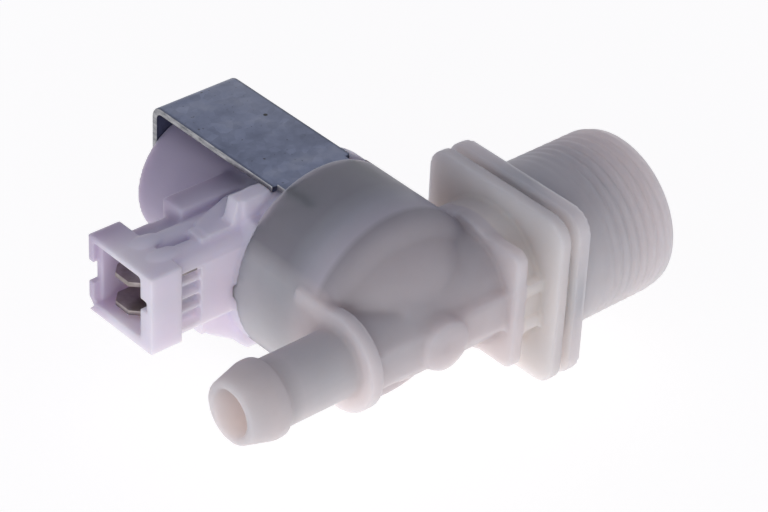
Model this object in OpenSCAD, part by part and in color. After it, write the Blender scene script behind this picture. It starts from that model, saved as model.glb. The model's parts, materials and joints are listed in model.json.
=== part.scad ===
// Washing machine inlet valve: threaded inlet, diaphragm chamber, hose spigot and solenoid coil.
// Millimetres. The flow axis is X, the inlet thread points along +X and the origin is on the
// flow axis at the panel face of the front flange. The coil stands on the chamber along +Y.

/* [Inlet] */
// Outer diameter of the inlet thread, G 3/4
thread_d = 26.4; // [25.5:0.1:27.5]
// Length of the threaded barrel past the panel face
thread_len = 19.9; // [16:0.1:24]
// Bore of the inlet barrel, where the filter sits
inlet_bore_d = 20.4; // [19.5:0.1:21.5]
// Depth of the inlet bore from the mouth of the thread
inlet_bore_depth = 22.4; // [21:0.1:23]
// Bore of the channel from the inlet to the chamber
channel_d = 12.4; // [10:0.1:13]

/* [Flanges] */
// Side of the two square flange plates
flange_side = 28.5; // [28:0.1:32]
// Corner radius of the square flange plates
flange_corner = 3.5; // [1:0.1:5]
// Thickness of the front flange plate
front_plate_t = 2.2; // [1.6:0.1:3]
// Gap between the plates that takes the panel edge
panel_gap = 1.6; // [1:0.1:2.2]
// Thickness of the back flange plate
back_plate_t = 2; // [1.6:0.1:2.6]
// Diameter of the round core at the bottom of the panel gap
groove_core_d = 24.6; // [23:0.1:26]
// Diameter of the neck behind the back plate
neck_d = 22; // [20:0.1:23]
// Distance from the back plate to the small stiffening plate
small_plate_gap = 3.6; // [2.5:0.1:4.5]
// Thickness of the small stiffening plate
small_plate_t = 2.1; // [1.5:0.1:3]
// Height of the small plate along Z
small_plate_h = 20.1; // [18:0.1:22]
// Reach of the small plate in front of the flow axis
small_plate_reach = 11.5; // [10.5:0.1:13]
// Thickness of the two bars that tie the small plate to the back plate
bar_t = 2; // [1.2:0.1:3]
// Distance of each bar from the middle plane
bar_offset = 3.1; // [2:0.1:5]

/* [Chamber] */
// Distance from the panel face to the coil axis
coil_x = 24.1; // [24:0.1:27]
// Wall of the bell at its mouth
bell_wall = 1.4; // [1.2:0.1:1.8]
// Height of the bell mouth above the flow axis
rim_y = 17.6; // [17:0.1:18.5]
// Height of the raised rim beside the yoke legs
rim_raise = 2.2; // [1:0.1:3]
// Height of the ledge that carries the diaphragm
ledge_y = 6.2; // [5.8:0.1:6.8]
// Height of the outer shoulder, where the bell ends
shoulder_y = 1.4; // [1:0.1:2]
// Height of the chamber floor
floor_y = 3.2; // [3:0.1:4]
// Diameter of the chamber around the seat
chamber_d = 24.6; // [24:0.1:25]
// Radius of the channel body around the flow axis
channel_body_r = 9.45; // [9:0.05:9.8]
// Distance from the panel face to the closed end of the channel body
channel_body_end = 30; // [29:0.1:31]
// Width of the raised band along the front of the channel body
band_w = 6.4; // [5:0.1:7]
// Reach of the raised band in front of the flow axis
band_reach = 10.15; // [9.9:0.05:10.6]

/* [Outlet] */
// Drop of the outlet axis in front of the flow axis
outlet_drop = 4.1; // [3:0.1:4.5]
// Outer diameter of the hose spigot
spigot_d = 10.46; // [9.5:0.02:12]
// Bore of the seat and the outlet
outlet_bore_d = 7.2; // [6:0.1:8]
// Distance from the panel face to the spigot mouth
spigot_end = 58.4; // [54:0.1:66]
// Largest diameter of the hose barb
barb_d = 12.1; // [12:0.05:13]
// Length of the barb
barb_len = 7.2; // [6:0.1:9]
// Diameter of the tapered mouth of the barb
barb_mouth_d = 9.6; // [9:0.1:10.4]
// Diameter of the outlet tube between the chamber and the root plate
outlet_tube_d = 12.4; // [12:0.1:13]
// Diameter of the root plate of the spigot
root_d = 15.6; // [14.5:0.1:17]
// Distance from the panel face to the outer face of the root plate
root_x = 39.1; // [38.5:0.1:41]
// Thickness of the root plate
root_t = 2.3; // [1.5:0.1:3]
// Diameter of the round boss in front of the chamber
boss_d = 8.2; // [6:0.1:9]
// Reach of the boss in front of the flow axis
boss_reach = 11.3; // [10.9:0.1:12.5]

/* [Filter and regulator] */
// Thickness of the filter flange
filter_flange_t = 1.6; // [1.2:0.1:2.4]
// Length of the filter cup
filter_len = 11.5; // [9:0.1:13]
// Thickness of the regulator holder
holder_t = 5.2; // [4.4:0.1:6]
// Thickness of the rubber flow washer
washer_t = 3; // [2:0.1:3.4]
// Hole of the rubber flow washer
washer_hole_d = 4.4; // [3:0.1:6]

/* [Diaphragm] */
// Thickness of the clamped bead of the diaphragm
bead_t = 2.2; // [1.8:0.1:3]
// Thickness of the diaphragm web
web_t = 0.9; // [0.6:0.1:1.2]
// Diameter of the thick middle of the diaphragm
disc_d = 12.4; // [11.6:0.1:13]
// Diameter of the pilot hole in the insert
pilot_d = 1.2; // [0.8:0.1:1.8]

/* [Armature] */
// Outer diameter of the guide tube
guide_d = 9.6; // [9.2:0.1:10]
// Wall of the guide tube
guide_wall = 0.75; // [0.6:0.05:1]
// Thickness of the flange of the guide
guide_flange_t = 3.6; // [3.4:0.1:4.2]
// Length of the armature
armature_len = 21.4; // [18:0.1:23]
// Radial clearance of the armature in the guide
armature_clear = 0.09; // [0.05:0.01:0.1]
// Stroke of the armature
stroke = 3; // [2:0.1:3.5]
// Lift of the diaphragm
lift = 2; // [1:0.1:2.2]
// Wire of the return spring
spring_wire = 0.5; // [0.4:0.05:0.6]
// Turns of the return spring
spring_turns = 6; // [4:1:8]

/* [Coil] */
// Outer diameter of the coil drum
drum_d = 22.1; // [21.8:0.1:24]
// Wall of the moulding over the winding
drum_wall = 0.9; // [0.7:0.1:1.2]
// Height of the far face of the collar
collar_y = 22.7; // [22:0.1:24]
// Reach of the round collar past the bell
collar_lip = 1.8; // [1.5:0.1:2.4]
// Height of the far end of the coil moulding
drum_end_y = 47.1; // [46:0.1:49]
// Wall of the bobbin
bobbin_wall = 0.9; // [0.7:0.1:1.1]
// Thickness of the bobbin flanges
bobbin_flange_t = 1.2; // [0.8:0.1:2]
// Wall of the two pole bushes
bush_wall = 1.1; // [0.8:0.1:1.3]

/* [Yoke] */
// Width of the yoke strip
yoke_w = 14.8; // [13.5:0.1:16]
// Thickness of the yoke strip
yoke_t = 1.15; // [1:0.05:1.5]
// Clearance between the drum and each leg of the yoke
leg_gap = 1.87; // [1.5:0.01:2.5]
// Distance of the yoke legs inside the bore of the bell
leg_inset = 0.33; // [0.2:0.01:0.6]
// Inner bend radius of the yoke
yoke_bend = 1; // [0.5:0.1:2]
// Width of the tongues that enter the chamber mouth
tongue_w = 12.8; // [11:0.1:13]
// Thickness of the flux plate
flux_t = 1.2; // [1:0.1:1.6]

/* [Connector] */
// Distance from the panel face to the mouth of the connector
shroud_x = 55.5; // [54:0.1:60]
// Depth of the rim box of the connector
shroud_depth = 5.6; // [4.5:0.1:7]
// Width of the connector along Y
shroud_w = 14.9; // [14.5:0.1:16]
// Height of the connector along Z
shroud_h = 13.2; // [13:0.1:15]
// Near side of the connector along Y
shroud_y = 17.1; // [16.8:0.1:18]
// Bottom of the connector along Z
shroud_z = -3.9; // [-4.5:0.1:-3]
// Width of the terminal blades
blade_w = 6.3; // [4.8:0.1:6.3]
// Thickness of the terminal blades
blade_t = 0.8; // [0.5:0.1:0.8]
// Pitch of the terminal blades
blade_pitch = 5; // [4.5:0.1:5.2]

/* [Clearances] */
// Gap between parts that seat on each other
seat_gap = 0.05; // [0.02:0.01:0.1]
// Gap around parts that drop into place
fit_gap = 0.1; // [0.05:0.01:0.15]

/* [Hidden] */
$fn = 96;
eps = 0.01;

// Reach of the boxes and rods that only cut
big = 40;

// Wall of the seat tube
seat_wall = 1.7;

// Edges, corners and small features of the body
thread_chamfer = 0.7;
small_plate_corner = 2;
bar_inset = 0.2;
channel_chamfer = 1;
barb_lead = 1;
barb_crest = 1.4;
root_flat = 0.4;
root_rise = 4;
dimple_r = 1;
dimple_depth = 0.3;

// Stations along the flow axis, measured in -X from the panel face
back_plate_x = front_plate_t + panel_gap + back_plate_t;
small_plate_x = back_plate_x + small_plate_gap + small_plate_t;
bore_floor_x = inlet_bore_depth - thread_len;
channel_end_gap = 2;
channel_end_x = coil_x - outlet_bore_d / 2 - seat_wall - channel_end_gap;
barb_top_x = spigot_end - barb_len + barb_lead;
barb_x = spigot_end - barb_len;

// The drum, the yoke around it and the bell around the yoke
drum_r = drum_d / 2;
yoke_in_z = drum_r + leg_gap;
yoke_out_z = yoke_in_z + yoke_t;
bell_bore_r = yoke_out_z + leg_inset;
bell_r = bell_bore_r + bell_wall;

// Chamber
dome_h = 6;
dome_step = 9;
seat_drop = 0.8;
seat_y = ledge_y - seat_drop;
rim_top_y = rim_y + rim_raise;
rim_step_z = 10.3;
rim_tab = 1.2;
guide_flange_y = ledge_y + bead_t;
guide_flange_r = bell_bore_r - fit_gap;

// Filter and regulator stack in the inlet bore
inlet_bore_r = inlet_bore_d / 2;
stack_r = inlet_bore_r - fit_gap;
holder_x = -bore_floor_x + seat_gap;
holder_wall = 1.4;
washer_seat_x = holder_x + holder_t - washer_t;
filter_x = holder_x + holder_t + seat_gap;

// Diaphragm: the web lies on the seat
web_y = seat_y + seat_gap;
disc_t = 2.6;
disc_top_y = web_y + disc_t;
insert_t = 0.5;
insert_top_y = disc_top_y + insert_t;
insert_r = 2.6;
insert_lip = 1.1;
foot_len = 2.2;
foot_lip = 0.5;
nozzle_r = 1.5;
nozzle_tip_r = 1;
nozzle_h = 0.5;
pilot_top_y = insert_top_y + nozzle_h;

// Guide and armature
guide_r = guide_d / 2;
guide_bore_r = guide_r - guide_wall;
armature_r = guide_bore_r - armature_clear;
seal_r = 2;
seal_t = 2.2;
seal_reach = 0.6;
armature_y = pilot_top_y + seat_gap + seal_reach;
armature_top_y = armature_y + armature_len;
groove_w = 1.2;
groove_depth = 0.5;
spring_inset = 0.5;
spring_block = (spring_turns + 1) * spring_wire;
spring_spare = 2.65;
guide_roof_y = armature_top_y + stroke + spring_block + spring_spare;
guide_top_y = guide_roof_y + guide_wall;
guide_relief = 0.8;
spring_r = armature_r - spring_wire / 2 - spring_inset;
spring_len = guide_roof_y - armature_top_y - 2 * seat_gap;

// Magnet circuit
flux_y = guide_flange_y + guide_flange_t + seat_gap;
flux_top_y = flux_y + flux_t;
bush_bore_r = guide_r + seat_gap;
bush_r = bush_bore_r + bush_wall;
bush_len = 9.5;
bobbin_bore_r = bush_r + seat_gap;
bobbin_r = bobbin_bore_r + bobbin_wall;
yoke_back_y = drum_end_y + seat_gap;

// Coil moulding
cavity_r = drum_r - drum_wall;
spigot_bottom_y = flux_top_y + seat_gap;
spigot_r = bell_bore_r - fit_gap;
end_wall = 1.3;
bobbin_y = spigot_bottom_y + end_wall - fit_gap;
bobbin_end_y = drum_end_y - end_wall;
winding_gap = 0.35;
winding_inset = 0.2;
winding_r = cavity_r - winding_gap;
collar_bottom_y = rim_y + seat_gap;
collar_flat_z = yoke_in_z - seat_gap;
collar_r = bell_r + collar_lip;
collar_flat_reach = 0.9;
collar_flat_x = coil_x + collar_r + collar_flat_reach;
collar_side_drop = 0.47;
collar_side_z = yoke_out_z - collar_side_drop;
collar_plate_t = 2.4;
collar_plate_y = collar_y - collar_plate_t;
collar_top_cut = [5.2, 3.7];
collar_top_slant = 1;
collar_low_cut = [9.1, 5.9];
shelf_far = [1, 4.6];
shelf_bend = 1;
shelf_slope = 1.8;
fairing_z = [-5.9, 7, 9.7];
fairing_in_y = 3.1;
fairing_step_y = 10.9;
fairing_far_y = 0.6;
fairing_reach = 17.7;
fairing_x = coil_x + fairing_reach;
hook_x = [7.7, 12.4];
hook_in_y = 3.7;
hook_r = 1.1;

// Connector
shroud_back_x = shroud_x - shroud_depth;
shroud_top_z = shroud_z + shroud_h;
shroud_far_y = shroud_y + shroud_w;
shroud_wall = 1.1;
shroud_near_wall = 2.7;
shroud_floor = 1.8;
shroud_back = 0.6;
socket_in = 6;
socket_near = 3.4;
socket_far = 0.8;
socket_foot = 2.2;
socket_head = 3.4;
key_depth = 1.5;
key_z = [6.9, 8.7];
notch_z = [5.1, 8.7];
notch_depth = 2.2;
corner_cut = 1.6;
blade_in_y = 8.85;
blade_in_z = 5.4;
blade_inset = 2.5;
blade_root = 1.4;
blade_y = shroud_y + blade_in_y;
blade_z = shroud_z + blade_in_z;
blade_tip_x = shroud_x - blade_inset;
blade_root_x = coil_x + drum_r + blade_root;
neck_inset = 1.1;
neck_y = shroud_y + neck_inset;
neck_far_inset = 0.7;
neck_far_y = shroud_far_y - neck_far_inset;
neck_foot = 0.5;
neck_z = shroud_z + neck_foot;
neck_drop = 2;
neck_top_z = shroud_top_z - neck_drop;
neck_rib_r = 2.4;
neck_rib_gap = 0.4;
neck_rib_sink = 0.8;
window_depth = 1.7;
window_edge = 1.4;
window_inset = 0.4;
fin_t = 0.7;
fin_pitch = 2.4;
fin_z = 3.6;
fin_inset = 0.3;
slit_z = [5.2, 7.6];
slit_h = 1.2;
slit_w = 1.5;
slit_depth = 3;

// A square or rectangle with rounded corners, centred
module rounded_rect(w, h, r) {
    square([w - 2 * r, h], center = true);
    square([w, h - 2 * r], center = true);
    for (x = [-1, 1], y = [-1, 1])
        translate([x * (w / 2 - r), y * (h / 2 - r)]) circle(r);
}

// A cylinder along X, from x0 to x1
module rod_x(x0, x1, r, r2 = -1) {
    translate([x0, 0, 0]) rotate([0, 90, 0]) cylinder(h = x1 - x0, r1 = r, r2 = r2 < 0 ? r : r2);
}

// A cylinder on the coil axis, from y0 to y1
module rod_y(y0, y1, r, r2 = -1) {
    translate([-coil_x, y0, 0]) rotate([-90, 0, 0])
        cylinder(h = y1 - y0, r1 = r, r2 = r2 < 0 ? r : r2);
}

// A ring on the coil axis
module ring_y(y0, y1, r, bore) {
    difference() {
        rod_y(y0, y1, r);
        rod_y(y0 - 1, y1 + 1, bore);
    }
}

// A box given by its low and high corners
module span(a, b) {
    translate(a) cube([b[0] - a[0], b[1] - a[1], b[2] - a[2]]);
}

// A plate across the flow axis, with rounded corners
module flange(x0, t) {
    translate([-x0, 0, 0]) rotate([90, 0, 90]) linear_extrude(t)
        rounded_rect(flange_side, flange_side, flange_corner);
}

// Inlet barrel, both flanges, neck, small plate and tie bars
module inlet_end() {
    rod_x(-eps, thread_len - thread_chamfer, thread_d / 2);
    rod_x(thread_len - thread_chamfer, thread_len, thread_d / 2, thread_d / 2 - thread_chamfer);
    flange(front_plate_t, front_plate_t);
    flange(back_plate_x, back_plate_t);
    rod_x(-back_plate_x, -front_plate_t + eps, groove_core_d / 2);
    rod_x(-small_plate_x, -back_plate_x + eps, neck_d / 2);
    intersection() {
        translate([-small_plate_x, 0, 0]) rotate([90, 0, 90]) linear_extrude(small_plate_t)
            rounded_rect(2 * small_plate_reach, small_plate_h, small_plate_corner);
        span([-coil_x, -small_plate_reach, -small_plate_h], [0, small_plate_reach / 2, small_plate_h]);
    }
    for (s = [-1, 1])
        span([-small_plate_x, -small_plate_reach + bar_inset, s * bar_offset - bar_t / 2],
             [-back_plate_x + eps, 0, s * bar_offset + bar_t / 2]);
}

// Elliptical dome that closes the bell towards the channel body, as a stack of cones
module dome() {
    function dome_y(a) = shoulder_y - dome_h * sin(a);
    for (a = [0 : dome_step : 90 - 2 * dome_step])
        rod_y(dome_y(a + dome_step), dome_y(a) + eps, bell_r * cos(a + dome_step), bell_r * cos(a));
}

// Chamber bell with its castellated rim, dome and rounded channel body
module chamber_outside() {
    rod_y(shoulder_y, rim_y, bell_r);
    dome();
    intersection() {
        rod_y(rim_y - eps, rim_top_y, bell_r);
        union() {
            for (s = [-1, 1])
                span([-coil_x - bell_r, rim_y - 1, s > 0 ? rim_step_z : -bell_r],
                     [-coil_x + bell_r, rim_top_y, s > 0 ? bell_r : -rim_step_z]);
            span([-coil_x - bell_r, rim_y - 1, -rim_tab], [-coil_x, rim_top_y, rim_tab]);
        }
    }
    rod_x(-channel_body_end + channel_chamfer, -small_plate_x + eps, channel_body_r);
    rod_x(-channel_body_end, -channel_body_end + channel_chamfer + eps,
          channel_body_r - channel_chamfer, channel_body_r);
    span([-root_x + root_t - eps, -band_reach, -band_w / 2],
         [-small_plate_x + eps, -outlet_drop, band_w / 2]);
    rod_y(-boss_reach, 0, boss_d / 2);
}

// Outlet tube, root plate, spigot and barb
module outlet_end() {
    translate([0, -outlet_drop, 0]) {
        rod_x(-root_x + eps, -coil_x, outlet_tube_d / 2);
        rod_x(-root_x, -root_x + root_t, root_d / 2);
        rod_x(-barb_x - eps, -root_x + eps, spigot_d / 2);
        rod_x(-barb_top_x, -barb_x, barb_d / 2, spigot_d / 2);
        rod_x(-barb_top_x - barb_crest, -barb_top_x + eps, barb_d / 2);
        rod_x(-spigot_end, -barb_top_x - barb_crest + eps, barb_mouth_d / 2, barb_d / 2);
    }
    span([-root_x, -outlet_drop, -root_d / 2 + root_flat],
         [-root_x + root_t, shoulder_y + root_rise, root_d / 2 - root_flat]);
}

// Water ways, seat and the pockets of the bell
module body_ways() {
    rod_x(-bore_floor_x, thread_len + 1, inlet_bore_r);
    rod_x(-channel_end_x, thread_len, channel_d / 2);
    difference() {
        rod_y(floor_y, rim_y, chamber_d / 2);
        rod_y(0, seat_y, outlet_bore_d / 2 + seat_wall);
    }
    rod_y(ledge_y, rim_top_y + 1, bell_bore_r);
    rod_y(-outlet_drop, rim_y, outlet_bore_d / 2);
    translate([0, -outlet_drop, 0]) {
        rod_x(-spigot_end - 1, -coil_x, outlet_bore_d / 2);
        translate([-coil_x, 0, 0]) sphere(outlet_bore_d / 2);
    }
    for (s = [-1, 1])
        span([-coil_x - tongue_w / 2 - fit_gap, flux_y, s > 0 ? 0 : -yoke_out_z - fit_gap],
             [-coil_x + tongue_w / 2 + fit_gap, rim_top_y + 1, s > 0 ? yoke_out_z + fit_gap : 0]);
    rod_y(-boss_reach - 1, -boss_reach + dimple_depth, dimple_r);
}

module valve_body() {
    color("ivory") difference() {
        union() {
            inlet_end();
            chamber_outside();
            outlet_end();
        }
        body_ways();
    }
}

// Cup strainer with a flange, slotted wall and a pull tab, at the mouth of the inlet bore
module inlet_filter() {
    cup_inset = 1.4;
    cup_r = stack_r - cup_inset;
    cup_wall = 0.9;
    cup_end = 1;
    slot_end = 2;
    end_x = filter_x + filter_len;
    slots = 8;
    slot_w = 3.4;
    tab = [3, 2, 6];
    color("gainsboro") {
        difference() {
            union() {
                rod_x(filter_x, filter_x + filter_flange_t, stack_r);
                rod_x(filter_x, end_x, cup_r);
            }
            rod_x(filter_x - 1, end_x - cup_end, cup_r - cup_wall);
            for (i = [0 : slots / 2 - 1])
                rotate([360 * (i + 0.5) / slots, 0, 0])
                    span([filter_x + filter_flange_t + cup_end, -cup_r - 1, -slot_w / 2],
                         [end_x - slot_end, cup_r + 1, slot_w / 2]);
        }
        span([end_x - eps, -tab[1] / 2, -tab[2] / 2], [end_x + tab[0], tab[1] / 2, tab[2] / 2]);
    }
}

// Holder of the flow washer, seated on the floor of the inlet bore
module regulator_holder() {
    pocket_r = stack_r - holder_wall;
    hole_ring_r = 4;
    hole_r = 1.5;
    color("white") difference() {
        rod_x(holder_x, holder_x + holder_t, stack_r);
        rod_x(washer_seat_x - seat_gap, holder_x + holder_t + 1, pocket_r);
        for (i = [0 : 5])
            rotate([60 * i, 0, 0]) translate([0, hole_ring_r, 0])
                rod_x(holder_x - 1, washer_seat_x + 1, hole_r);
    }
}

// Rubber flow washer with a dished face
module regulator_washer() {
    outer_r = stack_r - holder_wall - fit_gap;
    dish_depth = 0.9;
    dish_r = 3;
    dish_edge = 1.2;
    color("dimgray") difference() {
        rod_x(washer_seat_x, washer_seat_x + washer_t - seat_gap, outer_r);
        rod_x(washer_seat_x - 1, holder_x + holder_t + 1, washer_hole_d / 2);
        rod_x(washer_seat_x + washer_t - dish_depth, washer_seat_x + washer_t, dish_r, outer_r - dish_edge);
    }
}

// Rubber diaphragm: clamped bead, thin convoluted web and thick middle
module diaphragm() {
    bead_r = bell_bore_r - fit_gap;
    web_inset = 1.6;
    web_r = chamber_d / 2 - web_inset;
    fold = 0.4;
    color("dimgray") difference() {
        union() {
            rod_y(ledge_y + seat_gap, guide_flange_y - seat_gap, bead_r);
            rod_y(web_y, disc_top_y, disc_d / 2);
        }
        rod_y(ledge_y + seat_gap + web_t + fold, guide_flange_y + 1, web_r);
        rod_y(ledge_y - 1, guide_flange_y + 1, insert_r);
    }
    color("dimgray") ring_y(ledge_y + seat_gap, disc_top_y, disc_d / 2, insert_r);
}

// Plastic centre of the diaphragm with the pilot hole
module diaphragm_insert() {
    color("white") difference() {
        union() {
            rod_y(web_y - foot_len, insert_top_y, insert_r - seat_gap);
            rod_y(disc_top_y + seat_gap, insert_top_y, insert_r + insert_lip);
            rod_y(web_y - foot_len, web_y - seat_gap, insert_r + foot_lip);
            rod_y(insert_top_y - eps, pilot_top_y, nozzle_r, nozzle_tip_r);
        }
        rod_y(web_y - foot_len - 1, pilot_top_y + 1, pilot_d / 2);
    }
}

// Guide of the armature: flange over the diaphragm and a closed tube
module armature_guide() {
    color("whitesmoke") difference() {
        union() {
            rod_y(guide_flange_y, guide_flange_y + guide_flange_t, guide_flange_r);
            rod_y(guide_flange_y, guide_top_y, guide_r);
        }
        rod_y(guide_flange_y - 1, guide_roof_y, guide_bore_r);
        rod_y(guide_flange_y - 1, disc_top_y + lift + 2 * fit_gap, disc_d / 2 + guide_relief);
    }
}

// Steel armature with a pocket for its seal and a seat for its spring
module armature() {
    color("silver") difference() {
        rod_y(armature_y, armature_top_y, armature_r);
        rod_y(armature_y - 1, armature_y + seal_t, seal_r);
        for (s = [-1, 1])
            span([-coil_x + s * armature_r - groove_depth, armature_y - 1, -groove_w / 2],
                 [-coil_x + s * armature_r + groove_depth, armature_top_y + 1, groove_w / 2]);
    }
}

// Rubber seal pressed into the armature, which closes the pilot hole
module pilot_seal() {
    color("dimgray") rod_y(pilot_top_y + seat_gap, armature_y + seal_t - seat_gap, seal_r - seat_gap);
}

// Return spring between the armature and the roof of the guide
module armature_spring() {
    turn_steps = 16;
    sides = 8;
    steps = turn_steps * spring_turns;
    wire_r = spring_wire / 2;
    rise = spring_len - spring_wire;
    y0 = armature_top_y + seat_gap + wire_r;
    function ring(i) = [for (k = [0 : sides - 1])
        let (a = 360 * i / turn_steps, b = 360 * k / sides, r = spring_r + wire_r * cos(b))
            [-coil_x + r * cos(a), y0 + rise * i / steps + wire_r * sin(b), r * sin(a)]];
    points = [for (i = [0 : steps]) each ring(i)];
    sides_faces = [for (i = [0 : steps - 1], k = [0 : sides - 1])
        let (n = (k + 1) % sides)
            [i * sides + k, (i + 1) * sides + k, (i + 1) * sides + n, i * sides + n]];
    start = [[for (k = [0 : sides - 1]) k]];
    end = [[for (k = [sides - 1 : -1 : 0]) steps * sides + k]];
    color("lightgray") polyhedron(points, concat(sides_faces, start, end));
}

// Steel plate that closes the magnet circuit under the coil
module flux_plate() {
    color("silver") difference() {
        span([-coil_x - tongue_w / 2, flux_y, -yoke_in_z + seat_gap],
             [-coil_x + tongue_w / 2, flux_top_y, yoke_in_z - seat_gap]);
        rod_y(flux_y - 1, flux_top_y + 1, bush_bore_r);
    }
}

module lower_pole_bush() {
    color("silver") ring_y(flux_top_y + seat_gap, flux_top_y + seat_gap + bush_len, bush_r, bush_bore_r);
}

module upper_pole_bush() {
    color("silver") ring_y(yoke_back_y - seat_gap - bush_len, yoke_back_y - seat_gap, bush_r, bush_bore_r);
}

// Bobbin that carries the winding
module bobbin() {
    color("white") difference() {
        union() {
            rod_y(bobbin_y, bobbin_end_y, bobbin_r);
            rod_y(bobbin_y, bobbin_y + bobbin_flange_t, winding_r);
            rod_y(bobbin_end_y - bobbin_flange_t, bobbin_end_y, winding_r);
        }
        rod_y(bobbin_y - 1, bobbin_end_y + 1, bobbin_bore_r);
    }
}

module winding() {
    from_y = bobbin_y + bobbin_flange_t + seat_gap;
    to_y = bobbin_end_y - bobbin_flange_t - seat_gap;
    color("chocolate") ring_y(from_y, to_y, winding_r - winding_inset, bobbin_r + seat_gap);
}

// Mouth of the connector with its key groove, front notch and inner socket
module shroud_cavity() {
    far_y = shroud_far_y - shroud_wall;
    floor_x = -shroud_back_x - shroud_back;
    span([-shroud_x - 1, shroud_y + shroud_near_wall, shroud_z + shroud_floor],
         [floor_x, far_y, shroud_top_z - shroud_wall]);
    span([-shroud_x - 1, shroud_y + shroud_near_wall - key_depth, shroud_z + key_z[0]],
         [floor_x, far_y, shroud_z + key_z[1]]);
    span([-shroud_x - 1, far_y - 1, shroud_z + notch_z[0]],
         [-shroud_x + notch_depth, shroud_far_y + 1, shroud_z + notch_z[1]]);
    span([-shroud_x - 1, shroud_y + socket_near, shroud_z + socket_foot],
         [-shroud_back_x + socket_in, far_y - socket_far, shroud_top_z - socket_head]);
}

// Recess with three fins and two slits in the near side of the connector neck
module neck_window() {
    difference() {
        span([-shroud_back_x + window_inset, neck_y - 1, shroud_z + window_edge],
             [-collar_flat_x - 1, neck_y + window_depth, neck_top_z - shroud_back]);
        for (i = [0 : 2])
            span([-shroud_back_x, neck_y + fin_inset, shroud_z + fin_z + fin_pitch * i],
                 [-collar_flat_x, neck_y + window_depth + 1, shroud_z + fin_z + fin_t + fin_pitch * i]);
    }
    for (z = slit_z)
        span([-shroud_back_x + window_inset, neck_y, shroud_z + z - slit_h / 2],
             [-shroud_back_x + window_inset + slit_w, neck_y + slit_depth, shroud_z + z + slit_h / 2]);
}

// Two half-round ribs along the top of the connector neck
module neck_ribs() {
    for (y = [neck_y + neck_rib_r, neck_y + 3 * neck_rib_r + neck_rib_gap])
        translate([0, y, neck_top_z - neck_rib_sink])
            rod_x(-shroud_back_x - eps, -coil_x - drum_r + 1, neck_rib_r);
}

// Plate of the collar on the connector side, with its stepped and its slanted corner
module collar_side() {
    translate([0, collar_y, 0]) rotate([90, 0, 0]) linear_extrude(collar_plate_t)
        polygon([[-coil_x, collar_side_z],
                 [-collar_flat_x + collar_top_cut[0], collar_side_z],
                 [-collar_flat_x + collar_top_cut[0] - collar_top_slant, collar_side_z - collar_top_cut[1]],
                 [-collar_flat_x, collar_side_z - collar_top_cut[1]],
                 [-collar_flat_x, -collar_side_z + collar_low_cut[1]],
                 [-collar_flat_x + collar_low_cut[0], -collar_side_z],
                 [-coil_x, -collar_side_z]]);
}

// Shelf behind the stepped corner, which carries the plate on the drum
module collar_shelf() {
    top_z = collar_side_z - collar_top_cut[1];
    linear_extrude(top_z)
        polygon([[-collar_flat_x, collar_plate_y],
                 [-collar_flat_x, collar_y + shelf_far[0]],
                 [-collar_flat_x + shelf_far[0], collar_y + shelf_far[0] + shelf_bend],
                 [-collar_flat_x + shelf_slope * shelf_far[1], collar_y + shelf_far[1]],
                 [-coil_x, collar_y + shelf_far[1]],
                 [-coil_x, collar_plate_y]]);
}

// Rounded block of the collar beside the upper leg of the yoke
module collar_hook() {
    top_z = collar_side_z - hook_r;
    hook_y = collar_bottom_y + hook_in_y - 2 * hook_r;
    span([-coil_x - hook_x[1], hook_y, rim_step_z], [-coil_x - hook_x[0], collar_y, top_z]);
    span([-coil_x - hook_x[1], hook_y + hook_r, top_z - eps], [-coil_x - hook_x[0], collar_y, collar_side_z]);
    translate([0, hook_y + hook_r, top_z]) rod_x(-coil_x - hook_x[1], -coil_x - hook_x[0], hook_r);
}

// Collar of the coil moulding, with slots for the legs and notches for the raised rim
module coil_collar() {
    leg_slot = yoke_w / 2 + fit_gap;
    inner_r = bell_r - fit_gap;
    difference() {
        union() {
            intersection() {
                union() {
                    rod_y(collar_bottom_y, collar_y, inner_r);
                    intersection() {
                        rod_y(collar_plate_y, collar_y, collar_r - 2 * fit_gap);
                        span([-coil_x - big, 0, -big], [-coil_x, collar_y, big]);
                    }
                }
                span([-coil_x - big, 0, -collar_side_z], [-coil_x + big, collar_y, collar_side_z]);
            }
            collar_side();
            collar_shelf();
            collar_hook();
        }
        for (s = [-1, 1]) {
            span([-coil_x - leg_slot, collar_bottom_y - 1, s > 0 ? collar_flat_z : -big],
                 [-coil_x + leg_slot, drum_end_y, s > 0 ? big : -collar_flat_z]);
            difference() {
                span([-coil_x - big, collar_bottom_y - 1, s > 0 ? rim_step_z - fit_gap : -big],
                     [-coil_x + big, rim_top_y + fit_gap, s > 0 ? big : -rim_step_z + fit_gap]);
                rod_y(0, drum_end_y, spigot_r);
            }
        }
        difference() {
            span([-coil_x - big, collar_bottom_y - 1, -rim_tab - fit_gap],
                 [-coil_x, rim_top_y + fit_gap, rim_tab + fit_gap]);
            rod_y(0, drum_end_y, spigot_r);
        }
    }
}

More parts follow.
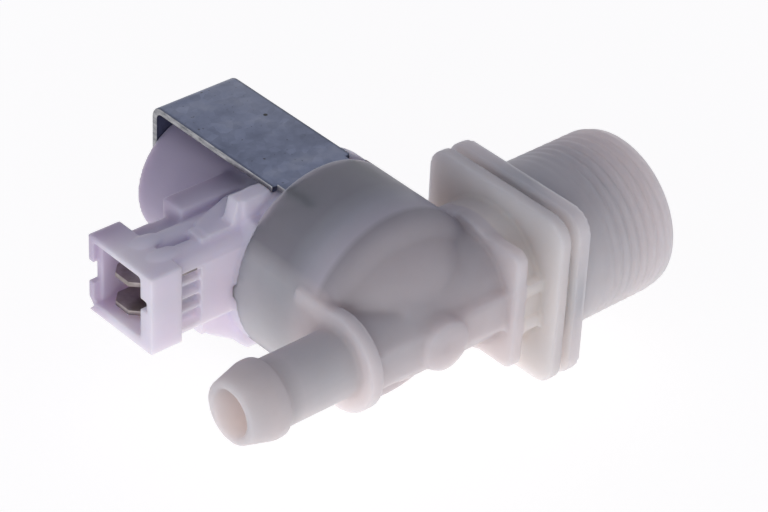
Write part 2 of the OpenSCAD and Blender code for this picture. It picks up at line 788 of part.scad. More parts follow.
// Coil moulding: drum over the winding, collar, spigot in the bell, neck and connector
module coil_housing() {
    color("lavender") difference() {
        union() {
            rod_y(collar_bottom_y, drum_end_y, drum_r);
            coil_collar();
            intersection() {
                rod_y(spigot_bottom_y, collar_bottom_y + 1, spigot_r);
                span([-coil_x - big, 0, -collar_flat_z], [-coil_x + big, big, collar_flat_z]);
            }
            span([-shroud_back_x - eps, neck_y, neck_z], [-coil_x - drum_r + 2, neck_far_y, neck_top_z]);
            span([-fairing_x, shroud_y + fairing_in_y, fairing_z[0]],
                 [-coil_x - drum_r / 2, shroud_far_y + fairing_far_y, fairing_z[1]]);
            span([-fairing_x, shroud_y + fairing_step_y, 0],
                 [-coil_x - drum_r / 2, shroud_far_y + fairing_far_y, fairing_z[2]]);
            neck_ribs();
            difference() {
                span([-shroud_x, shroud_y, shroud_z], [-shroud_back_x, shroud_far_y, shroud_top_z]);
                translate([-shroud_x - 1, shroud_far_y, shroud_z]) rotate([45, 0, 0])
                    cube([shroud_depth + 2, corner_cut, corner_cut]);
            }
        }
        rod_y(bobbin_y - seat_gap, bobbin_end_y + seat_gap, cavity_r);
        rod_y(spigot_bottom_y - 1, drum_end_y + 1, bush_r + seat_gap);
        shroud_cavity();
        neck_window();
        for (s = [-1, 1])
            blade_slot(blade_z + s * blade_pitch / 2);
    }
}

// Steel strip bent into a U around the coil
module yoke_bracket() {
    bend = yoke_bend + yoke_t;
    back_y = yoke_back_y + yoke_t;
    leg_len = back_y - flux_y;
    color("lightsteelblue") {
        difference() {
            translate([-coil_x - yoke_w / 2, 0, 0]) rotate([90, 0, 90]) linear_extrude(yoke_w)
                translate([back_y - leg_len / 2, 0]) rounded_rect(leg_len, 2 * yoke_out_z, bend);
            translate([-coil_x - yoke_w, 0, 0]) rotate([90, 0, 90]) linear_extrude(2 * yoke_w)
                translate([yoke_back_y - leg_len, 0])
                    rounded_rect(2 * leg_len, 2 * yoke_in_z, yoke_bend);
            span([-coil_x - big, 0, -big], [-coil_x + big, rim_top_y + seat_gap, big]);
        }
        for (s = [-1, 1])
            span([-coil_x - tongue_w / 2, flux_y, s > 0 ? yoke_in_z : -yoke_out_z],
                 [-coil_x + tongue_w / 2, rim_top_y + yoke_t, s > 0 ? yoke_out_z : -yoke_in_z]);
    }
}

// The room of one blade in the coil moulding
module blade_slot(z) {
    span([-shroud_x, blade_y - blade_w / 2 - seat_gap, z - blade_t / 2 - seat_gap],
         [-blade_root_x + seat_gap, blade_y + blade_w / 2 + seat_gap, z + blade_t / 2 + seat_gap]);
}

// Flat terminal blade with a chamfered tip
module blade(z) {
    tip = 1.6;
    translate([0, blade_y, z - blade_t / 2]) linear_extrude(blade_t)
        polygon([[-blade_tip_x, -blade_w / 2 + tip], [-blade_tip_x + tip, -blade_w / 2],
                 [-blade_root_x, -blade_w / 2], [-blade_root_x, blade_w / 2],
                 [-blade_tip_x + tip, blade_w / 2], [-blade_tip_x, blade_w / 2 - tip]]);
}

module terminal_upper() {
    color("silver") blade(blade_z + blade_pitch / 2);
}

module terminal_lower() {
    color("silver") blade(blade_z - blade_pitch / 2);
}

valve_body();
inlet_filter();
regulator_holder();
regulator_washer();
diaphragm();
diaphragm_insert();
armature_guide();
armature();
pilot_seal();
armature_spring();
flux_plate();
lower_pole_bush();
upper_pole_bush();
bobbin();
winding();
coil_housing();
yoke_bracket();
terminal_upper();
terminal_lower();
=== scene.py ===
"""Looks of the washing machine inlet valve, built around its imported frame.

Lengths are in metres. The flow axis is X, the coil stands along +Y and Z is up in the picture.
"""
import json
import math

import bmesh
import bpy
from mathutils import Matrix, Vector
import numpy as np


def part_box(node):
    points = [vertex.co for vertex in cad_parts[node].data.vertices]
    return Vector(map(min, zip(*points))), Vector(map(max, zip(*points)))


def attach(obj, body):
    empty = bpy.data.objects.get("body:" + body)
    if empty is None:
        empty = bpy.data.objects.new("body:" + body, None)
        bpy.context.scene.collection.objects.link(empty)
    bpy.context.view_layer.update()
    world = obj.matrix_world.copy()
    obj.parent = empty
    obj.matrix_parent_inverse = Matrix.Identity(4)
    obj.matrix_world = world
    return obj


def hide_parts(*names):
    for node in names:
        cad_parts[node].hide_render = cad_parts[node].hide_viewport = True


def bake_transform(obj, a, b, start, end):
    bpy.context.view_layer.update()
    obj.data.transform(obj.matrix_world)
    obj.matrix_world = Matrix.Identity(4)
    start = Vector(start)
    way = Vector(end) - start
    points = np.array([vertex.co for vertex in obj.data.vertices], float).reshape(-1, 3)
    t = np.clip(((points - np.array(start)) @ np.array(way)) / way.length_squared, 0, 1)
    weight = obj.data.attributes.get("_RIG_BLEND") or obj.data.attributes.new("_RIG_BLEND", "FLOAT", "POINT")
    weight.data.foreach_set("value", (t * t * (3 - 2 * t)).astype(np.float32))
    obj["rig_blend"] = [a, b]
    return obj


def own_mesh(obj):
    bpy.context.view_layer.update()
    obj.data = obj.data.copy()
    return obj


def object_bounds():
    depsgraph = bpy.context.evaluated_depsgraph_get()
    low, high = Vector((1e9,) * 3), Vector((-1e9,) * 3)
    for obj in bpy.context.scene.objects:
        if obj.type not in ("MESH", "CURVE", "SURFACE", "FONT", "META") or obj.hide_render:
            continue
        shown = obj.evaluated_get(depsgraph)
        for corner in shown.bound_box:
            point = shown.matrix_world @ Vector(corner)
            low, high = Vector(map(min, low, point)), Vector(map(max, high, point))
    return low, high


MM = 0.001

# Camera, measured from the photograph
CAM_AZIMUTH = math.radians(-42.68)
CAM_ELEVATION = math.radians(34.57)
CAM_ROLL = math.radians(2.88)
CAM_DISTANCE = 452.1 * MM
CAM_ASIDE = -20.03 * MM
CAM_ABOVE = -0.43 * MM
CAM_LENS = 142.4

# Places and sizes of the valve, as in the CAD source
COIL_X = -24.1 * MM
THREAD_R = 13.2 * MM
THREAD_END = 19.9 * MM
THREAD_START = 2.5 * MM
THREAD_PITCH = 1.814 * MM
THREAD_DEPTH = 0.32 * MM
INLET_BORE_R = 10.2 * MM
FLOOR_DROP = 6 * MM
FLOOR_GLOW = 0.68
# Middle of a dark dot of painted shade, for a small punched pit in the strip
PUNCH_PIT_SHADE = (-19.9 * MM, 35.6 * MM, 14.07 * MM)
BLADE_TIP = -50.8 * MM
BLADE_REACH = 1.1 * MM

# Forms of the mouldings that the CAD source leaves to the looks, in millimetres
BODY_VOXEL = 0.33
COIL_VOXEL = 0.24
RUBBER_VOXEL = 0.3
BARREL_FOOT_X = 0.05
PEG_ENDS_X = (-10.5, -7.2)
PEG_Y = -10.3
PEG_Z = 3.1
PEG_R = 1.15
FILLET_MIDDLE = (-24.1, 1.0, 1.5)
FILLET_RADII = (13.4, 8.8, 12.0)
RIM_Y = 17.6
NECK_RIB_Y = (21.3, 25.4)
NECK_RIB_R = 1.7
COIL_BLOCKS = (
    ((-54.4, 30.2, -2.5), (-50.5, 31.6, 7.9)),
    ((-43.9, 20.4, -7.4), (-42.0, 22.7, 9.7)),
    ((-45.6, 18.2, -3.3), (-43.3, 20.5, 7.2)),
    ((-43.9, 20.6, 7.9), (-41.0, 24.0, 9.7)),
)

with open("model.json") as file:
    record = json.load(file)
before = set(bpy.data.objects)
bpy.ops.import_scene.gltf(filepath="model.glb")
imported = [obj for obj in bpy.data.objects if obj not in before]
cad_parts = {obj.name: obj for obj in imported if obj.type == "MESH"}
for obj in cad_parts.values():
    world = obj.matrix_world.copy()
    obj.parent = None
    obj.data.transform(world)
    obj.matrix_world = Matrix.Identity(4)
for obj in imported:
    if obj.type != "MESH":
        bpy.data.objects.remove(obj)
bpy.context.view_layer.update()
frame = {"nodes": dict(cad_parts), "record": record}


# Meshes

def link(mesh, name, body="root"):
    """A new object that rides on a body."""
    obj = bpy.data.objects.new(name, mesh)
    bpy.context.scene.collection.objects.link(obj)
    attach(obj, body)
    return obj


def smooth(mesh, angle=None):
    """Smooth shading, with sharp edges kept past an angle."""
    for poly in mesh.polygons:
        poly.use_smooth = True
    if angle is not None:
        mesh.set_sharp_from_angle(angle=math.radians(angle))


def cad_mesh(node):
    """A welded copy of a CAD node's mesh."""
    bm = bmesh.new()
    bm.from_mesh(frame["nodes"][node].data)
    bmesh.ops.remove_doubles(bm, verts=bm.verts, dist=0.001 * MM)
    mesh = bpy.data.meshes.new(node + "_look")
    bm.to_mesh(mesh)
    bm.free()
    return mesh


def cut_off(mesh, x):
    """Removes what lies past x and closes the cut."""
    bm = bmesh.new()
    bm.from_mesh(mesh)
    cut = bmesh.ops.bisect_plane(
        bm,
        geom=bm.verts[:] + bm.edges[:] + bm.faces[:],
        plane_co=(x, 0, 0),
        plane_no=(1, 0, 0),
        clear_outer=True,
    )
    edges = [e for e in cut["geom_cut"] if isinstance(e, bmesh.types.BMEdge)]
    bmesh.ops.triangle_fill(bm, use_beauty=True, edges=edges)
    bm.to_mesh(mesh)
    bm.free()


def applied(obj):
    """Bakes the modifiers of an object into its mesh."""
    graph = bpy.context.evaluated_depsgraph_get()
    mesh = bpy.data.meshes.new_from_object(obj.evaluated_get(graph))
    obj.modifiers.clear()
    obj.data = mesh


def moulded(mesh, name, voxel, rounds):
    """A moulded look: the mesh remeshed and smoothed, so that its edges are soft."""
    obj = bpy.data.objects.new(name, mesh)
    bpy.context.scene.collection.objects.link(obj)
    remesh = obj.modifiers.new("remesh", "REMESH")
    remesh.mode = "VOXEL"
    remesh.voxel_size = voxel
    soften = obj.modifiers.new("soften", "SMOOTH")
    soften.factor = 0.5
    soften.iterations = rounds
    bpy.context.view_layer.update()
    applied(obj)
    smooth(obj.data)
    return obj


def soften(mesh, inside, rounds):
    """Smooths the part of a mesh whose vertices are inside."""
    bm = bmesh.new()
    bm.from_mesh(mesh)
    verts = [v for v in bm.verts if inside(v.co)]
    for _ in range(rounds):
        bmesh.ops.smooth_vert(bm, verts=verts, factor=0.5, use_axis_x=True, use_axis_y=True, use_axis_z=True)
    bm.to_mesh(mesh)
    bm.free()


def add_bar(mesh, start, end, radius):
    """Adds a round-ended bar to a mesh that is going to be remeshed."""
    start, end = Vector(start) * MM, Vector(end) * MM
    turn = (end - start).to_track_quat("Z", "Y").to_matrix().to_4x4()
    bm = bmesh.new()
    bm.from_mesh(mesh)
    bmesh.ops.create_cone(
        bm,
        cap_ends=True,
        segments=32,
        radius1=radius * MM,
        radius2=radius * MM,
        depth=(end - start).length,
        matrix=Matrix.Translation((start + end) / 2) @ turn,
    )
    for tip in (start, end):
        bmesh.ops.create_uvsphere(
            bm, u_segments=32, v_segments=16, radius=radius * MM, matrix=Matrix.Translation(tip)
        )
    bm.to_mesh(mesh)
    bm.free()


def add_ball(mesh, middle, radii):
    """Adds an ellipsoid to a mesh that is going to be remeshed."""
    bm = bmesh.new()
    bm.from_mesh(mesh)
    size = Matrix.Diagonal((*(Vector(radii) * MM), 1))
    bmesh.ops.create_uvsphere(
        bm, u_segments=64, v_segments=40, radius=1, matrix=Matrix.Translation(Vector(middle) * MM) @ size
    )
    bm.to_mesh(mesh)
    bm.free()


def add_block(mesh, low, high):
    """Adds a block to a mesh that is going to be remeshed."""
    low, high = Vector(low) * MM, Vector(high) * MM
    bm = bmesh.new()
    bm.from_mesh(mesh)
    size = Matrix.Diagonal((*(high - low), 1))
    bmesh.ops.create_cube(bm, size=1, matrix=Matrix.Translation((low + high) / 2) @ size)
    bm.to_mesh(mesh)
    bm.free()


def grid(name, rows, columns, point):
    """A mesh of rows by columns points, closed round the columns."""
    verts = [point(i, j) for i in range(rows) for j in range(columns)]
    faces = []
    for i in range(rows - 1):
        for j in range(columns):
            a, b = i * columns, (i + 1) * columns
            k = (j + 1) % columns
            faces.append((a + j, a + k, b + k, b + j))
    mesh = bpy.data.meshes.new(name)
    mesh.from_pydata(verts, [], faces)
    mesh.update()
    smooth(mesh)
    return mesh


def ease(x):
    """0 below 0, 1 above 1 and smooth between."""
    x = min(max(x, 0), 1)
    return x * x * (3 - 2 * x)


# Materials

class Look:
    """A procedural material: a Principled shader and the nodes that feed it."""

    def __init__(self, name, **values):
        self.material = bpy.data.materials.new(name)
        self.material.use_nodes = True
        self.nodes = self.material.node_tree.nodes
        self.shader = self.nodes["Principled BSDF"]
        self.place = self.nodes.new("ShaderNodeTexCoord")
        for key, value in values.items():
            self.shader.inputs[key.replace("_", " ")].default_value = value

    def join(self, out, into):
        self.material.node_tree.links.new(out, into)
        return self

    def noise(self, scale, detail=3, roughness=0.5, stretch=(1, 1, 1)):
        """Noise over the object, scale in features per metre."""
        mapping = self.nodes.new("ShaderNodeMapping")
        mapping.inputs["Scale"].default_value = stretch
        node = self.nodes.new("ShaderNodeTexNoise")
        node.inputs["Scale"].default_value = scale
        node.inputs["Detail"].default_value = detail
        node.inputs["Roughness"].default_value = roughness
        self.join(self.place.outputs["Object"], mapping.inputs["Vector"])
        self.join(mapping.outputs["Vector"], node.inputs["Vector"])
        return node.outputs["Fac"]

    def cells(self, scale):
        """Cells over the object, as colour and distance."""
        node = self.nodes.new("ShaderNodeTexVoronoi")
        node.inputs["Scale"].default_value = scale
        self.join(self.place.outputs["Object"], node.inputs["Vector"])
        return node.outputs

    def along(self, axis, low, high):
        """0 at low and 1 at high along an axis of the object, in metres."""
        split = self.nodes.new("ShaderNodeSeparateXYZ")
        node = self.nodes.new("ShaderNodeMapRange")
        node.inputs["From Min"].default_value = low
        node.inputs["From Max"].default_value = high
        self.join(self.place.outputs["Object"], split.inputs[0])
        self.join(split.outputs[axis], node.inputs["Value"])
        return node.outputs["Result"]

    def spot(self, middle, radius):
        """1 inside a small ball and 0 outside it."""
        mapping = self.nodes.new("ShaderNodeMapping")
        mapping.inputs["Scale"].default_value = (1 / radius,) * 3
        mapping.inputs["Location"].default_value = [-value / radius for value in middle]
        node = self.nodes.new("ShaderNodeTexGradient")
        node.gradient_type = "SPHERICAL"
        self.join(self.place.outputs["Object"], mapping.inputs["Vector"])
        self.join(mapping.outputs["Vector"], node.inputs["Vector"])
        return self.ramp(node.outputs["Fac"], (0.1, (0, 0, 0)), (0.4, (1, 1, 1)))

    def ramp(self, fac, *stops):
        """A colour ramp: each stop is (position, colour)."""
        node = self.nodes.new("ShaderNodeValToRGB")
        band = node.color_ramp
        while len(band.elements) < len(stops):
            band.elements.new(1)
        for element, (position, colour) in zip(band.elements, stops):
            element.position = position
            element.color = (*colour, 1) if len(colour) == 3 else colour
        self.join(fac, node.inputs["Fac"])
        return node.outputs["Color"]

    def spread(self, fac, low, high):
        """Maps 0..1 to low..high."""
        node = self.nodes.new("ShaderNodeMapRange")
        node.inputs["To Min"].default_value = low
        node.inputs["To Max"].default_value = high
        self.join(fac, node.inputs["Value"])
        return node.outputs["Result"]

    def mix(self, fac, a, b, mode="MIX"):
        """Two colours mixed by fac, a number or a socket."""
        node = self.nodes.new("ShaderNodeMix")
        node.data_type = "RGBA"
        node.blend_type = mode
        for name, value in (("Factor_Float", fac), ("A_Color", a), ("B_Color", b)):
            socket = next(s for s in node.inputs if s.identifier == name)
            if isinstance(value, bpy.types.NodeSocket):
                self.join(value, socket)
            else:
                socket.default_value = (*value, 1) if isinstance(value, tuple) else value
        return next(s for s in node.outputs if s.identifier == "Result_Color")

    def bump(self, height, depth, strength=1.0):
        """Bump of a depth in metres, on top of any bump that is there."""
        node = self.nodes.new("ShaderNodeBump")
        node.inputs["Strength"].default_value = strength
        node.inputs["Distance"].default_value = depth
        normal = self.shader.inputs["Normal"]
        if normal.links:
            self.join(normal.links[0].from_socket, node.inputs["Normal"])
        self.join(height, node.inputs["Height"])
        self.join(node.outputs["Normal"], normal)
        return self

    def colour(self, socket):
        return self.join(socket, self.shader.inputs["Base Color"])

    def rough(self, socket):
        return self.join(socket, self.shader.inputs["Roughness"])


def plastic(name, light, dark, depth_mm, glow=0.6, roughness=(0.38, 0.52), painted_shades=()):
    """A moulded translucent plastic, slightly uneven in tone and gloss.

    Each of the shades is (axis, low, high, stops): a painted shade that changes along an axis.
    """
    look = Look(
        name,
        Subsurface_Weight=glow,
        Subsurface_Radius=(1.0, 0.86, 0.78),
        Subsurface_Scale=depth_mm * MM,
        Specular_IOR_Level=0.35,
    )
    tone = look.ramp(look.noise(140, 3), (0.3, dark), (0.7, light))
    # Painted shade: each of the shades multiplies the tone along an axis.
    for axis, low, high, stops in painted_shades:
        tone = look.mix(1.0, tone, look.ramp(look.along(axis, low, high), *stops), "MULTIPLY")
    look.colour(tone)
    look.rough(look.spread(look.noise(420, 2), *roughness))
    look.bump(look.noise(900, 3), 0.02 * MM, 0.5)
    return look


def nylon():
    """Natural nylon, with painted light and shade on the bell, the spigot and the plates."""
    look = plastic("nylon", (0.70, 0.64, 0.64), (0.66, 0.60, 0.60), 12, 1.0)
    # Painted light and shade along Y on the bell: a painted crease shade near y = 1 mm, a painted bright band
    # above it, and painted shade on the upper bell from about y = 9 mm.
    height = look.ramp(
        look.along(1, -14 * MM, 18 * MM),
        (0.0, (1.0, 1.0, 1.0)),
        (0.36, (0.94, 0.94, 0.94)),
        (0.44, (0.74, 0.75, 0.78)),
        (0.48, (0.66, 0.67, 0.71)),
        (0.515, (1.0, 1.03, 1.10)),
        (0.61, (0.92, 0.95, 1.02)),
        (0.74, (0.60, 0.61, 0.66)),
        (1.0, (0.54, 0.54, 0.58)),
    )
    # Painted shade along Z: the bell darker towards the top.
    painted_top_shade = look.ramp(
        look.along(2, -10 * MM, 12 * MM),
        (0.0, (0.96, 0.96, 0.96)),
        (0.5, (0.93, 0.93, 0.94)),
        (0.9, (0.80, 0.81, 0.83)),
    )
    height = look.mix(1.0, height, painted_top_shade, "MULTIPLY")
    # Mask of the bell, 1 from about x = -37 to -13.4 mm and fading to 0 at -38.5 and -9 mm, where the painted
    # light and shade by height apply.
    bell = look.ramp(
        look.along(0, -38.5 * MM, -9 * MM),
        (0, (0, 0, 0)),
        (0.05, (1, 1, 1)),
        (0.85, (1, 1, 1)),
        (1, (0, 0, 0)),
    )
    base = look.shader.inputs["Base Color"].links[0].from_socket
    # Painted light along X: the spigot lighter and warmer, its far end a little darker.
    spigot = look.ramp(
        look.along(0, -60 * MM, -36 * MM),
        (0.0, (0.90, 0.89, 0.88)),
        (0.38, (0.92, 0.91, 0.90)),
        (0.46, (1.13, 1.07, 1.05)),
        (0.85, (1.13, 1.07, 1.05)),
        (1.0, (1.0, 1.0, 1.0)),
    )
    base = look.mix(1.0, base, spigot, "MULTIPLY")
    # Painted light along X: bands over the plates made lighter, for light shining through their thin walls.
    plates = look.ramp(
        look.along(0, -12 * MM, 0),
        (0.0, (1.0, 1.0, 1.0)),
        (0.20, (1.0, 1.0, 1.0)),
        (0.24, (1.15, 1.15, 1.08)),
        (0.50, (1.15, 1.15, 1.08)),
        (0.54, (1.02, 1.03, 1.0)),
        (0.67, (1.02, 1.03, 1.0)),
        (0.70, (1.30, 1.28, 1.20)),
        (0.80, (1.30, 1.28, 1.20)),
        (0.84, (1.0, 1.0, 1.0)),
    )
    base = look.mix(1.0, base, plates, "MULTIPLY")
    look.colour(look.mix(bell, base, look.mix(1.0, base, height, "MULTIPLY")))
    return look.material


def coil_plastic():
    """White coil moulding, with painted shade over the winding."""
    # Painted shade along Y: the drum over the winding darker from y = 25.6 mm, fully from 32 mm.
    stops = (
        (0.0, (1.0, 1.0, 1.0)),
        (0.35, (1.0, 1.0, 1.0)),
        (0.75, (0.57, 0.53, 0.61)),
        (1.0, (0.57, 0.53, 0.61)),
    )
    painted_shades = [(1, 20 * MM, 36 * MM, stops)]
    look = plastic("coil_plastic", (0.84, 0.79, 0.90), (0.80, 0.75, 0.86), 4, 0.9, painted_shades=painted_shades)
    return look.material


def white_plastic():
    return plastic("white_plastic", (0.72, 0.71, 0.68), (0.68, 0.67, 0.64), 1.5, 0.4).material


def filter_plastic():
    return plastic("filter_plastic", (0.62, 0.64, 0.66), (0.58, 0.60, 0.62), 2.5, 0.6).material


def rubber():
    look = Look("rubber", Specular_IOR_Level=0.3)
    look.colour(look.ramp(look.noise(600, 4), (0.3, (0.018, 0.018, 0.019)), (0.7, (0.035, 0.034, 0.034))))
    look.rough(look.spread(look.noise(900, 3), 0.6, 0.8))
    look.bump(look.noise(3000, 3), 0.03 * MM, 0.6)
    return look.material


def galvanised():
    """Zinc plate with faint spangle, cloudy tone, fine scratches and small dark specks, with painted shade
    along its two sides and in a punched pit.
    """
    look = Look("galvanised", Metallic=1.0)
    cloud = look.ramp(
        look.noise(160, 5, 0.6),
        (0.25, (0.085, 0.097, 0.150)),
        (0.55, (0.132, 0.149, 0.222)),
        (0.80, (0.180, 0.195, 0.262)),
    )
    spangle = look.ramp(look.cells(700)["Color"], (0.0, (0.86, 0.86, 0.86)), (1.0, (1.08, 1.08, 1.08)))
    tone = look.mix(1.0, cloud, spangle, "MULTIPLY")
    specks = look.ramp(look.noise(1500, 2, 0.4), (0.70, (0, 0, 0)), (0.76, (1, 1, 1)))
    tone = look.mix(specks, tone, (0.05, 0.05, 0.06))
    # Painted shade of a small punched pit: a dark dot.
    tone = look.mix(look.spot(PUNCH_PIT_SHADE, 0.45 * MM), tone, (0.02, 0.02, 0.022))
    # Painted shade along X: dark lines at the two sides of the strip, darker on the +X side.
    sides = look.ramp(
        look.along(0, COIL_X - 7.4 * MM, COIL_X + 7.4 * MM),
        (0.0, (0.45, 0.45, 0.47)),
        (0.035, (1.0, 1.0, 1.0)),
        (0.96, (1.0, 1.0, 1.0)),
        (1.0, (0.25, 0.25, 0.26)),
    )
    look.colour(look.mix(1.0, tone, sides, "MULTIPLY"))
    scratches = look.noise(260, 4, 0.7, (1, 1, 14))
    look.rough(look.spread(scratches, 0.30, 0.52))
    look.bump(scratches, 0.02 * MM, 0.4)
    look.bump(look.noise(700, 3), 0.03 * MM, 0.35)
    return look.material


def cut_edge():
    """The sheared sides of the strip: brighter, streaked along the strip."""
    look = Look("cut_edge", Metallic=1.0)
    look.colour(look.ramp(
        look.noise(500, 4, 0.65, (1, 1, 3)),
        (0.3, (0.14, 0.145, 0.16)),
        (0.55, (0.34, 0.34, 0.36)),
        (0.8, (0.50, 0.50, 0.51)),
    ))
    look.rough(look.spread(look.noise(600, 3), 0.3, 0.5))
    look.bump(look.noise(900, 3), 0.03 * MM, 0.5)
    return look.material


def steel():
    look = Look("bright_steel", Metallic=1.0)
    look.colour(look.ramp(look.noise(300, 4), (0.3, (0.40, 0.40, 0.41)), (0.7, (0.52, 0.52, 0.53))))
    look.rough(look.spread(look.noise(400, 4, 0.6, (1, 8, 1)), 0.22, 0.36))
    return look.material


def tin():
    """Tinned brass of the blades: grey, a little tarnished."""
    look = Look("tin", Metallic=1.0)
    look.colour(look.ramp(
        look.noise(330, 5, 0.6),
        (0.3, (0.20, 0.17, 0.16)),
        (0.55, (0.33, 0.29, 0.29)),
        (0.8, (0.45, 0.41, 0.41)),
    ))
    look.rough(look.spread(look.noise(700, 3), 0.30, 0.48))
    look.bump(look.noise(800, 3), 0.02 * MM, 0.5)
    return look.material


def copper():
    """Enamelled wire, wound close: fine rings along the coil axis."""
    look = Look("enamelled_copper", Metallic=0.9)
    wave = look.nodes.new("ShaderNodeTexWave")
    wave.bands_direction = "Y"
    wave.inputs["Scale"].default_value = 1500
    wave.inputs["Distortion"].default_value = 0.4
    look.join(look.place.outputs["Object"], wave.inputs["Vector"])
    look.colour(look.ramp(wave.outputs["Fac"], (0.0, (0.16, 0.035, 0.012)), (1.0, (0.48, 0.14, 0.05))))
    look.rough(look.spread(look.noise(500, 2), 0.25, 0.4))
    look.bump(wave.outputs["Fac"], 0.05 * MM)
    return look.material


def paint(obj, material):
    obj.data.materials.clear()
    obj.data.materials.append(material)


# Pieces

def thread_radius(x, turn):
    """Outer radius of the barrel at x, where turn is 0..1 round the axis."""
    phase = (x / THREAD_PITCH - turn) % 1
    ridge = ease((abs(2 * phase - 1) - 0.02) / 0.90)
    start = ease((x - THREAD_START) / (5 * THREAD_PITCH))
    end = ease((THREAD_END - 0.2 * MM - x) / (0.8 * THREAD_PITCH))
    depth = THREAD_DEPTH * (1 - ridge * end)
    return THREAD_R - depth * start


def inlet_barrel():
    """The threaded barrel: helical ridges, a rounded lip and the bore, open inside the body."""
    columns = 144
    step = 0.16 * MM
    first = -0.4 * MM
    count = int((THREAD_END - 0.5 * MM - first) / step)
    lip = 8
    bore_rows = 12

    def point(i, j):
        angle = 2 * math.pi * j / columns
        if i <= count:
            x = first + i * step
            r = thread_radius(x, j / columns)
        elif i <= count + lip:
            edge = thread_radius(first + count * step, j / columns)
            bend = math.pi * (i - count) / lip
            middle = (edge + INLET_BORE_R) / 2
            r = middle + (edge - INLET_BORE_R) / 2 * math.copysign(abs(math.cos(bend)) ** 0.6, math.cos(bend))
            x = first + count * step + (THREAD_END - first - count * step) * math.sin(bend) ** 0.6
        else:
            share = (i - count - lip) / bore_rows
            r = INLET_BORE_R
            x = (first + count * step) * (1 - share) + first * share
        return x, r * math.cos(angle), r * math.sin(angle)

    return grid("inlet_barrel", count + lip + bore_rows + 1, columns, point)


def fill_out(mesh, middle, radii):
    """Pushes the outside of the body under the bell out to an ellipsoid, as a moulded fillet."""
    for vertex in mesh.vertices:
        x, y, z = vertex.co / MM
        away = vertex.co / MM - middle
        depth = Vector([part / radius for part, radius in zip(away, radii)]).length
        outside = math.hypot(y, z) > 7.5 if x > -29.5 else math.hypot(y + 4.1, z) > 5
        if depth < 1 and y < 1 and outside and vertex.normal.dot(away) > 0:
            vertex.co = (middle + away / depth) * MM


def joint_of_channel(place):
    """Where the bell, the channel body and the outlet tube run into each other."""
    x, y = place.x / MM, place.y / MM
    return -36 < x < -12.5 and -9.7 < y < 2.5


def front_of_channel(place):
    """The raised band along the front, with its boss."""
    x, y, z = place / MM
    return -36 < x < -12.5 and y <= -8.5 and abs(z) < 6


def valve_body(material):
    mesh = cad_mesh("valve_body")
    cut_off(mesh, BARREL_FOOT_X * MM)
    for side in (-1, 1):
        start, end = [(x, PEG_Y, PEG_Z * side) for x in PEG_ENDS_X]
        add_bar(mesh, start, end, PEG_R)
    obj = moulded(mesh, "valve_body_look", BODY_VOXEL * MM, 2)
    fill_out(obj.data, Vector(FILLET_MIDDLE), FILLET_RADII)
    soften(obj.data, joint_of_channel, 14)
    soften(obj.data, front_of_channel, 12)
    for vertex in obj.data.vertices:
        x, y, z = vertex.co / MM
        if y > RIM_Y and z > 6 and x < -14:
            vertex.co.y = (RIM_Y + 0.1 * (y - RIM_Y)) * MM
        if y < 1.4 and z < -8 and x < -12.5:
            vertex.co.z = (-8 + (z + 8) * (1 - 0.6 * ease((1.4 - y) / 3))) * MM
    bm = bmesh.new()
    bm.from_mesh(obj.data)
    bm.from_mesh(inlet_barrel())
    bm.to_mesh(obj.data)
    bm.free()
    smooth(obj.data)
    paint(obj, material)
    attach(obj, "root")
    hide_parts("valve_body")
    return obj


def fairing_block(place):
    """The block that carries the drum on the connector side, and the shelf beside it."""
    x, y, z = place / MM
    return -45 < x < -27 and 23.4 < y < 34 and z > 3


def hook(place):
    """The rounded block of the collar beside the upper leg of the yoke."""
    x, y, z = place / MM
    return -37.3 < x < -31 and 18 < y < 23.4 and z > 9.4


def coil_housing(material, blade):
    mesh = cad_mesh("coil_housing")
    for y in NECK_RIB_Y:
        add_bar(mesh, (-48.4, y, 7.75), (-34, y, 7.3), NECK_RIB_R)
        add_ball(mesh, (-50.2, y, 9.1), (2.9, 1.6, 0.75))
    for low, high in COIL_BLOCKS:
        add_block(mesh, low, high)
    add_ball(mesh, (-33.4, 21.6, 12.3), (1.9, 2.0, 1.2))
    obj = moulded(mesh, "coil_housing_look", COIL_VOXEL * MM, 2)
    soften(obj.data, fairing_block, 12)
    soften(obj.data, hook, 7)
    paint(obj, material)
    obj.data.materials.append(blade)
    for face in obj.data.polygons:
        x, y, z = face.center / MM
        slope = 0.55 * (x + 49.4)
        shown = any(low + slope < z < low + 2.1 for low in (0.2, 4.9))
        face.material_index = int(shown and -49.6 < x < -46.4 and 18 < y < 22)
    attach(obj, "root")
    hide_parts("coil_housing")
    return obj


def bevelled(node, name, material, width, segments=2, edge=None):
    """A copy of a CAD node with its edges eased, which stands for it."""
    obj = bpy.data.objects.new(name, cad_mesh(node))
    bpy.context.scene.collection.objects.link(obj)
    flat = obj.modifiers.new("flat", "DECIMATE")
    flat.decimate_type = "DISSOLVE"
    flat.angle_limit = math.radians(0.5)
    bevel = obj.modifiers.new("bevel", "BEVEL")
    bevel.width = width
    bevel.segments = segments
    bevel.limit_method = "ANGLE"
    bevel.angle_limit = math.radians(40)
    bpy.context.view_layer.update()
    applied(obj)
    smooth(obj.data, 35)
    paint(obj, material)
    if edge:
        obj.data.materials.append(edge)
        for face in obj.data.polygons:
            face.material_index = int(abs(face.normal.x) > 0.5)
    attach(obj, body_of(node))
    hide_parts(node)
    return obj


def body_of(node):
    """The body that a CAD node belongs to."""
    bodies = frame["record"]["behaviour"]["bodies"]
    return next(body for body, nodes in bodies.items() if node in nodes)


